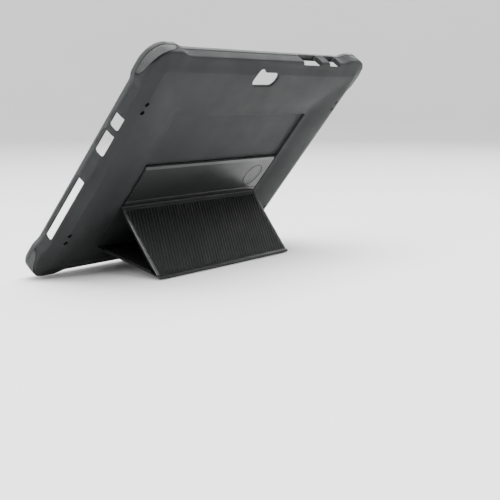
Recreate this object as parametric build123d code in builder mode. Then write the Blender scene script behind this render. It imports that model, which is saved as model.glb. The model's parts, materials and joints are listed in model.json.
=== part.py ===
"""Protective case for a 10.5-inch tablet, standing on its fold-out back stand.

The frame has +Z up, +X along the case's long edge and -Y towards the stand. The case leans back by
an angle that follows from its two contacts with the surface: the bottom corner bumpers and the foot.

The case itself is laid out in case coordinates (x, u, n). u runs up along the back from the bottom
bumpers, and n is the outward normal of the back, with n = 0 on the raised back face, so the tablet
bay and the open front lie at negative n. All sizes are in millimetres.
"""

import os
from math import acos, atan2, cos, degrees, hypot, radians, sin, tan

from build123d import *

# ---------------------------------------------------------------- driving dimensions

# Outline of the case
WALL_W = 253.0  # outer width over the side walls
WALL_H = 183.0  # outer height over the top and bottom walls
WALL_R = 12.0  # outer corner radius of the walls
WALL_T = 3.7  # thickness of the walls
PROUD = 3.0  # how far the corner bumpers stand out of the walls
CHAMFER_W = 10.0  # width of the sloped band round the back face
CHAMFER_D = 3.4  # depth of that band
SEAM_D = 10.6  # depth of the seam between the back shell and the front rim
GROOVE_W = 0.6  # groove along that seam
GROOVE_D = 0.4
RIM_ROUND = 1.2  # rounding of the front edge
HOLLOW_D = 4.2  # depth at which the walls' inner faces start to slope inwards

# Stack through the thickness, from the back face towards the open front
SHELL_T = 1.8  # back shell
RECESS_D = 2.6  # recess for the folded stand
TRAY_T = 0.8  # floor under that recess
LINER_T = 0.2  # lining on the inside of the floor
PAD_T = 1.8  # impact pads on the lining
TABLET_T = 8.3  # tablet that the bay holds
BAY_GAP = 0.1  # play round the tablet's thickness
LIP_T = 0.8  # lip that holds the tablet in
LIP_W = 2.6  # how far the lip reaches over the tablet

# Stand recess in the back, and the tray that it makes on the inside
RECESS_HALF = 80.0
RECESS_BOTTOM = 23.0
RECESS_TOP = 140.4
RECESS_R_LOW = 6.0
RECESS_R_HIGH = 2.5
TRAY_WALL = 1.6
SKIRT_W = 10.0  # sloped skirt round the tray
FIN_T = 1.3  # thickness of the support fins
FIN_SPREAD = 1.28  # how much the fins fan out from the middle of the case
FIN_STEP_X = 21.0  # spacing of the fins along the long edges, at the tray
FIN_STEP_U = 17.0  # spacing along the short edges
FIN_EASE = 2.3  # fins stop short of the walls by this much
FIN_GAP = 0.4  # and short of the tablet by this much

# Stand: fold lines in case coordinates (u, n), with the panels' outer faces on the lines between
FOLD_A = (24.0, 0.0)  # shell to base panel
FOLD_B = (46.5, 53.7)  # base panel to prop panel, at the foot
FOLD_C = (62.5, 0.0)  # prop panel to magnet tab
PANEL_HALF = 79.4  # half the width of the panels
FOLD_GAP = 1.1  # from folds A and C to the covers either side
FOOT_GAP = 2.8  # from the foot fold to the covers either side
SKIN_T = 0.7  # outer covers
BOARD_T = 1.5  # stiffening boards
RIBBED_T = 0.9  # ribbed cover of the prop panel
FOLD_R = 0.6  # fold beads at A and C
FOOT_R = 1.2  # fold bead at the foot
BOARD_IN = 2.4  # boards start this far from fold C
BASE_BOARD_IN = 6.4  # and this far from fold A, clear of the recess's rounded corners
FOOT_CLEAR = 7.2  # boards start this far from the foot fold
BEVEL = 1.1  # bevel on the boards' inner edges
TAB_TOP = 98.0  # upper edge of the magnet tab
SPINE_END = 4.1  # spine between the tab's two fold grooves, from fold C
TAB_GROOVE_W = 0.8
TAB_GROOVE_D = 0.45
TAB_SHOULDER = 1.2  # how much narrower the tab's spine is
MAGNET_R = 6.0
MAGNET_T = 1.1
MAGNET_X = 61.5
MAGNET_U = 80.5
MARK_R = 10.0  # raised ring over the right-hand magnet
MARK_W = 0.9
MARK_T = 0.25
KEEPER_R = 7.0  # steel discs in the tray that the magnets hold on to
KEEPER_T = 0.4

# Corner bumpers
BUMPER_D = 4.2  # depth at which the bumpers meet the flared corners of the back
BUMPER_X = 32.0  # length along the long edges
BUMPER_U = 27.0  # length along the short edges
RAMP_X = 12.0
RAMP_U = 8.0

# Inside: impact pads, inlaid bands and the plate for a magnetic holder
PAD_X = 61.0
PAD_U = (47.0, 121.0)
PAD_R = 23.0  # from a pad's middle to the corners of its triangle
PAD_CUT = 8.0  # how much of each corner is cut off
PAD_RELIEF = 8.0  # size of the raised triangle's groove
PAD_RELIEF_W = 1.0
PAD_RELIEF_D = 0.4
PAD_EDGE = 0.5
BAND_W = 7.0
BAND_T = 0.3
BAND_GAP = 0.5
BAND_REACH = 24.0  # from a pad's middle to the end of its corner band
PLATE_W = 50.0
PLATE_T = 0.5
PLATE_R = 3.0
LINER_INSET = 1.0

# Cut-outs, as (low, high) along the edge and in depth
PORT_FRONT = -11.8
PORT_BACK = -2.2
DOCK_BACK = -4.6
JACK = (128.5, 137.5)
USB = (108.0, 123.5)
DOCK = (34.5, 84.5)
PORT_REACH = 9.7  # how far the port cut-outs run in from the side wall
PORT_R_FRONT = 4.0
PORT_R_BACK = 1.6
BUTTONS = ((37.0, 62.0), (73.5, 88.5))
BUTTON_R = 1.5
SCOOP_DEPTH = 0.8
SCOOP_U = 177.6
CAMERA_X = -4.0
CAMERA_U = 171.9
CAMERA_W = 28.0
CAMERA_H = 11.0
NOTCH_X = -12.0
NOTCH_R = 5.8
NOTCH_U = 173.8
EYELET_R = 1.0
EYELET_X = 116.0
EYELETS_U = (34.5, 41.0, 144.5, 151.0)

# ---------------------------------------------------------------- derived depths and heights

OVERLAP = 0.1  # how far joined solids run into each other
PASS = 4.0  # how far cutting tools run past the walls

tray_inner = -(RECESS_D + TRAY_T)
liner_inner = tray_inner - LINER_T
pad_top = liner_inner - PAD_T
bay_front = pad_top - TABLET_T - BAY_GAP
front = bay_front - LIP_T
wall_high = PROUD + WALL_H
mid_u = PROUD + WALL_H / 2
recess_mid = (RECESS_BOTTOM + RECESS_TOP) / 2
recess_h = RECESS_TOP - RECESS_BOTTOM
inside_mid = sum(PAD_U) / 2

# ---------------------------------------------------------------- lean of the case

bumper_edge = (0.0, -CHAMFER_D)
foot_du = bumper_edge[0] - FOLD_B[0]
foot_dn = FOLD_B[1] - bumper_edge[1]
lean = atan2(foot_dn, foot_du) - acos(-FOOT_R / hypot(foot_du, foot_dn))
up_dir = Vector(0, -sin(lean), cos(lean))
out_dir = Vector(0, -cos(lean), -sin(lean))


def height(u, n):
    """Height of a case point above the case's own origin."""
    return u * cos(lean) - n * sin(lean)


def setback(u, n):
    """Distance of a case point behind the case's own origin."""
    return u * sin(lean) + n * cos(lean)


rear = setback(wall_high + PROUD, -CHAMFER_D)
nose = setback(0, front)
origin = Vector(0, (rear + nose) / 2, -height(*bumper_edge))
case_plane = Plane(origin=origin, x_dir=(1, 0, 0), z_dir=out_dir)
depth_axis = Axis(origin, out_dir)


def spot(x, u, n):
    """A case point in the object's frame."""
    return origin + Vector(x, 0, 0) + up_dir * u + out_dir * n


def span(start, end):
    """Length of a stand panel between two fold lines."""
    return hypot(end[0] - start[0], end[1] - start[1])


def section_plane(start, end):
    """Cross-section plane of a stand panel: x along the panel, y out of its outer face."""
    along = (up_dir * (end[0] - start[0]) + out_dir * (end[1] - start[1])).normalized()
    return Plane(origin=spot(0, *start), x_dir=along, z_dir=(1, 0, 0))


def export(piece, name):
    """Label one finished piece and write it as its own STEP file."""
    piece.part.label = name
    export_step(piece.part, f"parts/{name}.step")


os.makedirs("parts", exist_ok=True)

# ---------------------------------------------------------------- cut-outs, shared by shell and frame

CORNERS = {
    "bottom_left": (-1, -1),
    "bottom_right": (1, -1),
    "top_left": (-1, 1),
    "top_right": (1, 1),
}


def corner_outline(side_x, side_u, inside, inset=0.0):
    """Bumper outline at one corner of the case, closed through a point `inside` its wall corner."""
    path = [
        (BUMPER_X, 0),
        (BUMPER_X - RAMP_X, -PROUD),
        (-PROUD, -PROUD),
        (-PROUD, BUMPER_U - RAMP_U),
        (0, BUMPER_U),
        (inside, inside),
    ]
    points = []
    for along, across in path:
        x = side_x * (WALL_W / 2 - along - inset)
        u = mid_u + side_u * (WALL_H / 2 - across - inset)
        points.append((x, u))
    return points


def fin_lines():
    """Start and end of each support fin, from the tray's edge to the walls."""
    lines = []
    side_end = WALL_W / 2 - WALL_T - FIN_EASE
    for side in (-1, 1):
        for step in range(-3, 4):
            start = (side * (RECESS_HALF + TRAY_WALL), recess_mid + step * FIN_STEP_U)
            end = (side * side_end, mid_u + step * FIN_STEP_U * FIN_SPREAD)
            lines.append((start, end))
    for step in (-4, -3, -2, 2, 3, 4):
        start = (step * FIN_STEP_X, RECESS_TOP + TRAY_WALL)
        end = (step * FIN_STEP_X * FIN_SPREAD, wall_high - WALL_T - FIN_EASE)
        lines.append((start, end))
    for step in range(-4, 5):
        start = (step * FIN_STEP_X, RECESS_BOTTOM - TRAY_WALL)
        end = (step * FIN_STEP_X * FIN_SPREAD, PROUD + WALL_T + FIN_EASE)
        lines.append((start, end))
    return lines


port_plane = Plane(origin=spot(-WALL_W / 2 - PASS, 0, 0), x_dir=up_dir, z_dir=(1, 0, 0))
with BuildPart() as port_tool:
    for (low, high), back in ((JACK, PORT_BACK), (USB, PORT_BACK), (DOCK, DOCK_BACK)):
        with BuildSketch(port_plane) as port:
            with BuildLine():
                Polyline((low, PORT_FRONT), (high, PORT_FRONT), (high, back), (low, back), close=True)
            make_face()
            fillet(port.vertices().sort_by_distance((low, PORT_FRONT))[0], PORT_R_FRONT)
            fillet(port.vertices().sort_by_distance((low, back))[0], PORT_R_BACK)
        extrude(amount=PASS + PORT_REACH)

button_plane = Plane(origin=spot(0, wall_high + PASS, 0), x_dir=(1, 0, 0), z_dir=-up_dir)
scoop_plane = Plane(origin=spot(0, 0, 0), x_dir=up_dir, z_dir=(1, 0, 0))
with BuildPart() as button_tool:
    for low, high in BUTTONS:
        with BuildSketch(button_plane):
            with Locations(((low + high) / 2, (PORT_FRONT + PORT_BACK) / 2)):
                RectangleRounded(high - low, PORT_BACK - PORT_FRONT, BUTTON_R)
        extrude(amount=PASS + WALL_T + OVERLAP)
        scoop_edge = -CHAMFER_D * (SCOOP_U - wall_high + CHAMFER_W) / CHAMFER_W
        with BuildSketch(scoop_plane.offset(low)):
            with BuildLine():
                Polyline(
                    (SCOOP_U, scoop_edge),
                    (wall_high + PASS, scoop_edge - CHAMFER_D - SCOOP_DEPTH),
                    (wall_high + PASS, CHAMFER_D),
                    (SCOOP_U, CHAMFER_D),
                    close=True,
                )
            make_face()
        extrude(amount=high - low)

# ---------------------------------------------------------------- back shell

with BuildPart() as back_shell:
    # Flat rim, then the sloped edge of the raised back
    with BuildSketch(case_plane.offset(-SEAM_D)):
        with Locations((0, mid_u)):
            RectangleRounded(WALL_W, WALL_H, WALL_R)
    extrude(amount=SEAM_D - CHAMFER_D)
    with BuildSketch(case_plane.offset(-CHAMFER_D)):
        with Locations((0, mid_u)):
            RectangleRounded(WALL_W, WALL_H, WALL_R)
    with BuildSketch(case_plane):
        with Locations((0, mid_u)):
            RectangleRounded(WALL_W - 2 * CHAMFER_W, WALL_H - 2 * CHAMFER_W, WALL_R)
    loft()

    # Corners flare out over the bumpers
    for side_x, side_u in CORNERS.values():
        for depth, inset in ((-CHAMFER_D, 0.0), (0.0, CHAMFER_W + PROUD)):
            outline = corner_outline(side_x, side_u, WALL_R, inset)
            with BuildSketch(case_plane.offset(depth)) as flare:
                with BuildLine():
                    Polyline(*outline, close=True)
                make_face()
                fillet(flare.vertices().sort_by_distance(outline[2])[0], WALL_R + PROUD)
        loft()
        with BuildSketch(case_plane.offset(-BUMPER_D)) as flare:
            outline = corner_outline(side_x, side_u, WALL_R)
            with BuildLine():
                Polyline(*outline, close=True)
            make_face()
            fillet(flare.vertices().sort_by_distance(outline[2])[0], WALL_R + PROUD)
        extrude(amount=BUMPER_D - CHAMFER_D)

    # Hollow inside of the shell: straight along the walls, then sloping with the edge
    slope = CHAMFER_W / CHAMFER_D
    hollow_inset = WALL_T + (HOLLOW_D - SHELL_T) * slope
    with BuildSketch(case_plane.offset(-SEAM_D)):
        with Locations((0, mid_u)):
            RectangleRounded(WALL_W - 2 * WALL_T, WALL_H - 2 * WALL_T, WALL_R - WALL_T)
    extrude(amount=SEAM_D - HOLLOW_D, mode=Mode.SUBTRACT)
    with BuildSketch(case_plane.offset(-HOLLOW_D)):
        with Locations((0, mid_u)):
            RectangleRounded(WALL_W - 2 * WALL_T, WALL_H - 2 * WALL_T, WALL_R - WALL_T)
    with BuildSketch(case_plane.offset(-SHELL_T)):
        with Locations((0, mid_u)):
            RectangleRounded(WALL_W - 2 * hollow_inset, WALL_H - 2 * hollow_inset, WALL_R - WALL_T)
    loft(mode=Mode.SUBTRACT)

    # Tray behind the stand recess, with its sloped skirt
    tray_w = 2 * (RECESS_HALF + TRAY_WALL)
    tray_h = recess_h + 2 * TRAY_WALL
    with BuildSketch(case_plane.offset(OVERLAP - SHELL_T)):
        with Locations((0, recess_mid)):
            RectangleRounded(tray_w + 2 * SKIRT_W, tray_h + 2 * SKIRT_W, RECESS_R_LOW + SKIRT_W)
    with BuildSketch(case_plane.offset(tray_inner)):
        with Locations((0, recess_mid)):
            RectangleRounded(tray_w, tray_h, RECESS_R_LOW)
    loft()

    # Fins that fan out from the tray to the walls and carry the rim of the tablet
    fin_low = pad_top + FIN_GAP
    with BuildSketch(case_plane.offset(fin_low)):
        for start, end in fin_lines():
            along, across = end[0] - start[0], end[1] - start[1]
            middle = ((start[0] + end[0]) / 2, (start[1] + end[1]) / 2)
            with Locations(Location(middle, degrees(atan2(across, along)))):
                Rectangle(hypot(along, across), FIN_T)
    extrude(amount=-fin_low - SHELL_T + OVERLAP)

    # Recess for the folded stand
    with BuildSketch(case_plane) as recess:
        with Locations((0, recess_mid)):
            Rectangle(2 * RECESS_HALF, recess_h)
        fillet(recess.vertices().group_by(Axis.Y)[0], RECESS_R_LOW)
        fillet(recess.vertices().group_by(Axis.Y)[-1], RECESS_R_HIGH)
    extrude(amount=-RECESS_D, mode=Mode.SUBTRACT)

    # Camera window with its notch, and the eyelets
    with BuildSketch(case_plane.offset(PASS)):
        with Locations((CAMERA_X, CAMERA_U)):
            SlotOverall(CAMERA_W, CAMERA_H)
        with Locations((NOTCH_X, NOTCH_U)):
            Circle(NOTCH_R)
        for side in (-1, 1):
            for u in EYELETS_U:
                with Locations((side * EYELET_X, u)):
                    Circle(EYELET_R)
    extrude(amount=-2 * PASS, mode=Mode.SUBTRACT)

    # Port and button cut-outs
    add(port_tool.part, mode=Mode.SUBTRACT)
    add(button_tool.part, mode=Mode.SUBTRACT)

with BuildPart() as keepers:
    with BuildSketch(case_plane.offset(tray_inner)):
        for side in (-1, 1):
            with Locations((side * MAGNET_X, MAGNET_U)):
                Circle(KEEPER_R)
    extrude(amount=KEEPER_T)
export(keepers, "keeper_discs")

with back_shell:
    add(keepers.part, mode=Mode.SUBTRACT)
export(back_shell, "back_shell")

# ---------------------------------------------------------------- front rim and bumpers

with BuildPart() as front_rim:
    with BuildSketch(case_plane.offset(front)):
        with Locations((0, mid_u)):
            RectangleRounded(WALL_W, WALL_H, WALL_R)
    extrude(amount=-front - SEAM_D)
    fillet(front_rim.faces().sort_by(depth_axis)[0].outer_wire().edges(), RIM_ROUND)

    # Bay for the tablet, and the smaller opening through the lip
    with BuildSketch(case_plane.offset(bay_front)):
        with Locations((0, mid_u)):
            RectangleRounded(WALL_W - 2 * WALL_T, WALL_H - 2 * WALL_T, WALL_R - WALL_T)
    extrude(amount=-bay_front, mode=Mode.SUBTRACT)
    lip_inset = WALL_T + LIP_W
    with BuildSketch(case_plane.offset(front - PASS)):
        with Locations((0, mid_u)):
            RectangleRounded(WALL_W - 2 * lip_inset, WALL_H - 2 * lip_inset, WALL_R - lip_inset)
    extrude(amount=2 * PASS, mode=Mode.SUBTRACT)

    # Groove along the seam
    groove_w, groove_h = WALL_W - 2 * GROOVE_D, WALL_H - 2 * GROOVE_D
    with BuildSketch(case_plane.offset(-SEAM_D - GROOVE_W)):
        with Locations((0, mid_u)):
            RectangleRounded(WALL_W + 2 * PASS, WALL_H + 2 * PASS, WALL_R)
            RectangleRounded(groove_w, groove_h, WALL_R - GROOVE_D, mode=Mode.SUBTRACT)
    extrude(amount=2 * GROOVE_W, mode=Mode.SUBTRACT)

    add(port_tool.part, mode=Mode.SUBTRACT)
    add(button_tool.part, mode=Mode.SUBTRACT)

export(front_rim, "front_rim")

for corner, (side_x, side_u) in CORNERS.items():
    outline = corner_outline(side_x, side_u, 0)
    with BuildPart() as bumper:
        with BuildSketch(case_plane.offset(front)) as guard:
            with BuildLine():
                Polyline(*outline, close=True)
            make_face()
            fillet(guard.vertices().sort_by_distance(outline[2])[0], WALL_R + PROUD)
            fillet(guard.vertices().sort_by_distance(outline[5])[0], WALL_R)
        extrude(amount=-front - BUMPER_D)
    export(bumper, f"bumper_{corner}")

# ---------------------------------------------------------------- inside of the case

with BuildPart() as liner:
    with BuildSketch(case_plane.offset(liner_inner)) as lining:
        with Locations((0, recess_mid)):
            Rectangle(tray_w - 2 * LINER_INSET, tray_h - 2 * LINER_INSET)
        fillet(lining.vertices(), RECESS_R_LOW)
    extrude(amount=LINER_T)

export(liner, "floor_lining")


def pad_middle(side_x, side_u):
    """Middle of an impact pad, and the direction in degrees that its first corner faces."""
    middle = (side_x * PAD_X, PAD_U[0] if side_u < 0 else PAD_U[1])
    return middle, degrees(atan2(side_u, side_x))


def pad_outline(side_x, side_u, grow=0.0):
    """Outline of an impact pad: a triangle with its corners cut off, grown by `grow` all round."""
    (middle_x, middle_u), facing = pad_middle(side_x, side_u)
    flat = PAD_R - PAD_CUT + grow
    half = (PAD_CUT + grow) * tan(radians(30))
    points = []
    for turn in (0, 120, 240):
        angle = radians(facing + turn)
        for side in (-1, 1):
            x = middle_x + flat * cos(angle) - side * half * sin(angle)
            u = middle_u + flat * sin(angle) + side * half * cos(angle)
            points.append((x, u))
    return points


for corner, (side_x, side_u) in CORNERS.items():
    middle, facing = pad_middle(side_x, side_u)
    with BuildPart() as pad:
        with BuildSketch(case_plane.offset(pad_top)):
            with BuildLine():
                Polyline(*pad_outline(side_x, side_u), close=True)
            make_face()
        extrude(amount=PAD_T)
        chamfer(pad.faces().sort_by(depth_axis)[0].edges(), PAD_EDGE)
        # Groove round the raised triangle on the top
        with BuildSketch(case_plane.offset(pad_top)):
            with Locations(Location(middle, facing)):
                RegularPolygon(PAD_RELIEF + PAD_RELIEF_W, 3)
                RegularPolygon(PAD_RELIEF, 3, mode=Mode.SUBTRACT)
        extrude(amount=PAD_RELIEF_D, mode=Mode.SUBTRACT)
    export(pad, f"impact_pad_{corner}")

with BuildPart() as bands:
    with BuildSketch(case_plane.offset(liner_inner - BAND_T)):
        for u in PAD_U:
            with Locations((0, u)):
                Rectangle(2 * PAD_X, BAND_W)
        for side in (-1, 1):
            with Locations((side * PAD_X, inside_mid)):
                Rectangle(BAND_W, PAD_U[1] - PAD_U[0])
        for side_x, side_u in CORNERS.values():
            middle, facing = pad_middle(side_x, side_u)
            with Locations(Location(middle, facing)):
                Rectangle(BAND_REACH, BAND_W, align=(Align.MIN, Align.CENTER))
        for side_x, side_u in CORNERS.values():
            with BuildLine():
                Polyline(*pad_outline(side_x, side_u, BAND_GAP), close=True)
            make_face(mode=Mode.SUBTRACT)
    extrude(amount=BAND_T)

export(bands, "inlay_bands")

with BuildPart() as plate:
    with BuildSketch(case_plane.offset(liner_inner - PLATE_T)):
        with Locations((0, inside_mid)):
            RectangleRounded(PLATE_W, PLATE_W, PLATE_R)
    extrude(amount=PLATE_T)

export(plate, "holder_plate")

# ---------------------------------------------------------------- stand

base_plane = section_plane(FOLD_A, FOLD_B)
prop_plane = section_plane(FOLD_B, FOLD_C)
tab_plane = section_plane(FOLD_C, (TAB_TOP, 0.0))
base_len = span(FOLD_A, FOLD_B)
prop_len = span(FOLD_B, FOLD_C)
tab_len = TAB_TOP - FOLD_C[0]


def slab(plane, low, high, outer, inner, half=PANEL_HALF):
    """Flat strip of a stand panel, from `low` to `high` along it, `outer` to `inner` deep."""
    with BuildPart() as strip:
        with BuildSketch(plane):
            with BuildLine():
                Polyline((low, -outer), (high, -outer), (high, -inner), (low, -inner), close=True)
            make_face()
        extrude(amount=half, both=True)
    return strip


def board(plane, low, high, outer, inner):
    """Stiffening board of a stand panel, bevelled along both inner edges."""
    with BuildPart() as stiffener:
        with BuildSketch(plane):
            with BuildLine():
                Polyline(
                    (low, -outer),
                    (high, -outer),
                    (high, BEVEL - inner),
                    (high - BEVEL, -inner),
                    (low + BEVEL, -inner),
                    (low, BEVEL - inner),
                    close=True,
                )
            make_face()
        extrude(amount=PANEL_HALF, both=True)
    return stiffener


def fold_bead(plane, at, radius, tail_end, tail_t, half=PANEL_HALF):
    """Flexible fold: a round bead on the fold line with a tail that joins its neighbour."""
    with BuildPart() as fold:
        with BuildSketch(plane):
            with BuildLine():
                Polyline((at, 0), (tail_end, 0), (tail_end, -tail_t), (at, -tail_t), close=True)
            make_face()
            with Locations((at, 0)):
                Circle(radius)
        extrude(amount=half, both=True)
    return fold


case_section = section_plane(FOLD_A, (TAB_TOP, 0.0))
shell_fold_half = RECESS_HALF - RECESS_R_LOW
shell_fold = fold_bead(case_section, 0, FOLD_R, RECESS_BOTTOM - FOLD_A[0], SKIN_T, shell_fold_half)
export(shell_fold, "shell_fold")

base_cover = slab(base_plane, FOLD_GAP, base_len - FOOT_GAP, 0.0, SKIN_T)
with base_cover:
    upright = base_cover.edges().filter_by(Axis(base_plane.origin, base_plane.y_dir))
    fillet(upright.sort_by(Axis(base_plane.origin, base_plane.x_dir))[:2], RECESS_R_LOW)
export(base_cover, "base_cover")
base_board = board(base_plane, BASE_BOARD_IN, base_len - FOOT_CLEAR, SKIN_T, SKIN_T + BOARD_T)
export(base_board, "base_board")
foot_fold = fold_bead(base_plane, base_len, FOOT_R, base_len - FOOT_GAP, SKIN_T)
export(foot_fold, "foot_fold")

ribbed_cover = slab(prop_plane, FOOT_GAP, prop_len - FOLD_GAP, 0.0, RIBBED_T)
export(ribbed_cover, "ribbed_cover")
prop_board = board(prop_plane, FOOT_CLEAR, prop_len - BOARD_IN, RIBBED_T, SKIN_T + BOARD_T)
export(prop_board, "prop_board")
tab_fold = fold_bead(prop_plane, prop_len, FOLD_R, prop_len - FOLD_GAP, SKIN_T)
export(tab_fold, "tab_fold")

with BuildPart() as tab_cover:
    groove_end = SPINE_END + TAB_GROOVE_W
    with BuildSketch(tab_plane):
        with BuildLine():
            Polyline(
                (FOLD_GAP, 0),
                (SPINE_END, 0),
                (SPINE_END + TAB_GROOVE_W / 2, -TAB_GROOVE_D),
                (groove_end, 0),
                (tab_len - SKIN_T, 0),
                (tab_len, -SKIN_T),
                (FOLD_GAP, -SKIN_T),
                close=True,
            )
        make_face()
    extrude(amount=PANEL_HALF, both=True)
    for side in (-1, 1):
        with BuildSketch(tab_plane.offset(side * PANEL_HALF)):
            with Locations(((FOLD_GAP + groove_end) / 2, 0)):
                Rectangle(groove_end - FOLD_GAP, 2 * SKIN_T)
        extrude(amount=-side * TAB_SHOULDER, mode=Mode.SUBTRACT)
export(tab_cover, "tab_cover")

with BuildPart() as magnets:
    with BuildSketch(case_plane.offset(-SKIN_T - BOARD_T)):
        for side in (-1, 1):
            with Locations((side * MAGNET_X, MAGNET_U)):
                Circle(MAGNET_R)
    extrude(amount=MAGNET_T)
export(magnets, "tab_magnets")

tab_board = board(tab_plane, groove_end, tab_len, SKIN_T, SKIN_T + BOARD_T)
with BuildPart() as pocketed_board:
    add(tab_board.part)
    add(magnets.part, mode=Mode.SUBTRACT)
export(pocketed_board, "tab_board")

with BuildPart() as magnet_mark:
    with BuildSketch(case_plane):
        with Locations((MAGNET_X, MAGNET_U)):
            Circle(MARK_R)
            Circle(MARK_R - MARK_W, mode=Mode.SUBTRACT)
    extrude(amount=MARK_T)
export(magnet_mark, "magnet_mark")
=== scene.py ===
"""Looks of the tablet case: moulded shell, rim, corner guards, stand skins, gel pads and a soft studio.

Shapes are laid out in case coordinates (x, u, n) in millimetres: u runs up along the back, and n is
the outward normal of the back, with n = 0 on the raised back face. `spot` turns them into the frame.
"""

import json
from math import atan, atan2, cos, pi, radians, sin, tan

import bmesh
import bpy
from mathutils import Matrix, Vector


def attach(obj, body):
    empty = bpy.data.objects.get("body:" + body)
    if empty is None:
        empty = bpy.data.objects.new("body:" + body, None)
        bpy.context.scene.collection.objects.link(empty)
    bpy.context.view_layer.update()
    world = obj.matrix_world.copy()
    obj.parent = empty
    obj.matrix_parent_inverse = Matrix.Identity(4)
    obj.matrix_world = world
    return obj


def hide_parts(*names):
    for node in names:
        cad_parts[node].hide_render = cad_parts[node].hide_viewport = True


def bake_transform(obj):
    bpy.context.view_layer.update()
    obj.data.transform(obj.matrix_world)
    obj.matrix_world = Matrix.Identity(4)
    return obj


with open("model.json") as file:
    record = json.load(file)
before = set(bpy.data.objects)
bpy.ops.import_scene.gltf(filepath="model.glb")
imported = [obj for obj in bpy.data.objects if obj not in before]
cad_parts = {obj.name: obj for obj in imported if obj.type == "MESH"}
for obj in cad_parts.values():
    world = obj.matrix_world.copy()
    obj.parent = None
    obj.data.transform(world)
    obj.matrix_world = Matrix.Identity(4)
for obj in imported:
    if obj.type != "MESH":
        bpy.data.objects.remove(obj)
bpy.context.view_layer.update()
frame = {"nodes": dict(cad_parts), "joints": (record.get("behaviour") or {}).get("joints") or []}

MM = 0.001

# ---- sizes, in millimetres

WALL_W, WALL_H, WALL_R, WALL_T = 253.0, 183.0, 12.0, 3.7  # walls: length, height, corner radius, thickness
PROUD = 3.0  # corner guards stand out of the walls by this much
INSERT_T = 0.35  # of which the inserts in the guards take this much
BUMPER_X, BUMPER_U = 32.0, 27.0  # length of the corner guards along both edges
RAMP_X, RAMP_U = 12.0, 8.0  # of which their rise out of the walls takes this much
CHAMFER_W, CHAMFER_D = 10.0, 3.4  # width and depth of the sloped edge round the back
SEAM_D = 10.6  # depth of the seam between the moulded back and the rim
FRONT, BAY_FRONT, LIP_INSET = -14.6, -13.8, 6.3  # front face, back of the front lip, and the lip's edge
SHELL_T, RECESS_D, TRAY_INNER = 1.8, 2.6, -3.4  # shell thickness, stand recess, inner floor behind it
RECESS_X, RECESS_LOW, RECESS_HIGH = 80.0, 23.0, 140.4  # half width of the recess, and its ends along u
RECESS_R_LOW, RECESS_R_HIGH = 6.0, 2.5  # its corner radii
FOLD_A_U, FOLD_C_U, TAB_TOP = 24.0, 62.5, 98.0  # the folds on the back along u, and the tab's top edge
PANEL_HALF = 79.4  # half width of the stand panels
LINER_INNER, PAD_TOP = -3.6, -5.4  # inner faces of the felt and of the gel pads

# ---- case coordinates

fold = {j["name"]: Vector(j["pos_m"]) for j in frame["joints"]}
x_dir = Vector((1, 0, 0))
up_dir = (fold["tab_fold"] - fold["stand_fold"]).normalized()
out_dir = x_dir.cross(up_dir)
origin = fold["stand_fold"] - up_dir * FOLD_A_U * MM
mid_u = PROUD + WALL_H / 2
wall_high = PROUD + WALL_H


def spot(x, u, n):
    """A point of the case, given in millimetres, as a point of the frame in metres."""
    return origin + (x_dir * x + up_dir * u + out_dir * n) * MM


def on_panel(start, end):
    """Places points (x, along, out) of a stand panel that runs from one fold line to the next."""
    along_dir = (end - start).normalized()
    face_dir = x_dir.cross(along_dir)

    def place(x, along, out):
        return start + (x_dir * x + along_dir * along + face_dir * out) * MM

    return place


def smooth(t):
    """Rises from 0 to 1 without a kink at either end."""
    t = min(max(t, 0.0), 1.0)
    return t * t * (3 - 2 * t)


# ---- mesh helpers


def make_piece(name, verts, faces, material):
    """A new object with its faces turned outwards."""
    mesh = bpy.data.meshes.new(name)
    mesh.from_pydata(verts, [], faces)
    mesh.validate()
    bm = bmesh.new()
    bm.from_mesh(mesh)
    bmesh.ops.recalc_face_normals(bm, faces=bm.faces)
    bm.to_mesh(mesh)
    bm.free()
    piece = bpy.data.objects.new(name, mesh)
    bpy.context.scene.collection.objects.link(piece)
    mesh.materials.append(material)
    return piece


def ring_faces(count, size, closed):
    """Quads between `count` rings of `size` points, with flat ends unless it closes on itself."""
    faces = []
    for row in range(count if closed else count - 1):
        below, above = row * size, (row + 1) % count * size
        for i in range(size):
            j = (i + 1) % size
            faces.append((below + i, below + j, above + j, above + i))
    if not closed:
        faces.append(tuple(reversed(range(size))))
        faces.append(tuple(range((count - 1) * size, count * size)))
    return faces


def ring_solid(name, rings, material, closed=False):
    """One piece skinned over a list of rings."""
    verts = [point for ring in rings for point in ring]
    return make_piece(name, verts, ring_faces(len(rings), len(rings[0]), closed), material)


def joined(name, parts, material):
    """One piece from several lists of rings."""
    verts, faces = [], []
    for rings in parts:
        base = len(verts)
        verts += [point for ring in rings for point in ring]
        for face in ring_faces(len(rings), len(rings[0]), False):
            faces.append(tuple(base + i for i in face))
    return make_piece(name, verts, faces, material)


def settle(piece, kind, **settings):
    """Applies one modifier to the piece's own mesh."""
    modifier = piece.modifiers.new(kind.lower(), kind)
    for key, value in settings.items():
        setattr(modifier, key, value)
    bpy.context.view_layer.update()
    depsgraph = bpy.context.evaluated_depsgraph_get()
    mesh = bpy.data.meshes.new_from_object(piece.evaluated_get(depsgraph))
    piece.modifiers.clear()
    piece.data = mesh


def combine(piece, other, operation="DIFFERENCE"):
    """Takes the other shape out of the piece, or adds it, and then removes it from the scene."""
    settle(piece, "BOOLEAN", operation=operation, object=other, solver="EXACT")
    bpy.data.objects.remove(other)
    return piece


def shade(piece, angle=32):
    """Smooth shading, with an edge left sharp where it turns by more than `angle` degrees."""
    for polygon in piece.data.polygons:
        polygon.use_smooth = True
    piece.data.set_sharp_from_angle(angle=radians(angle))
    return piece


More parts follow.
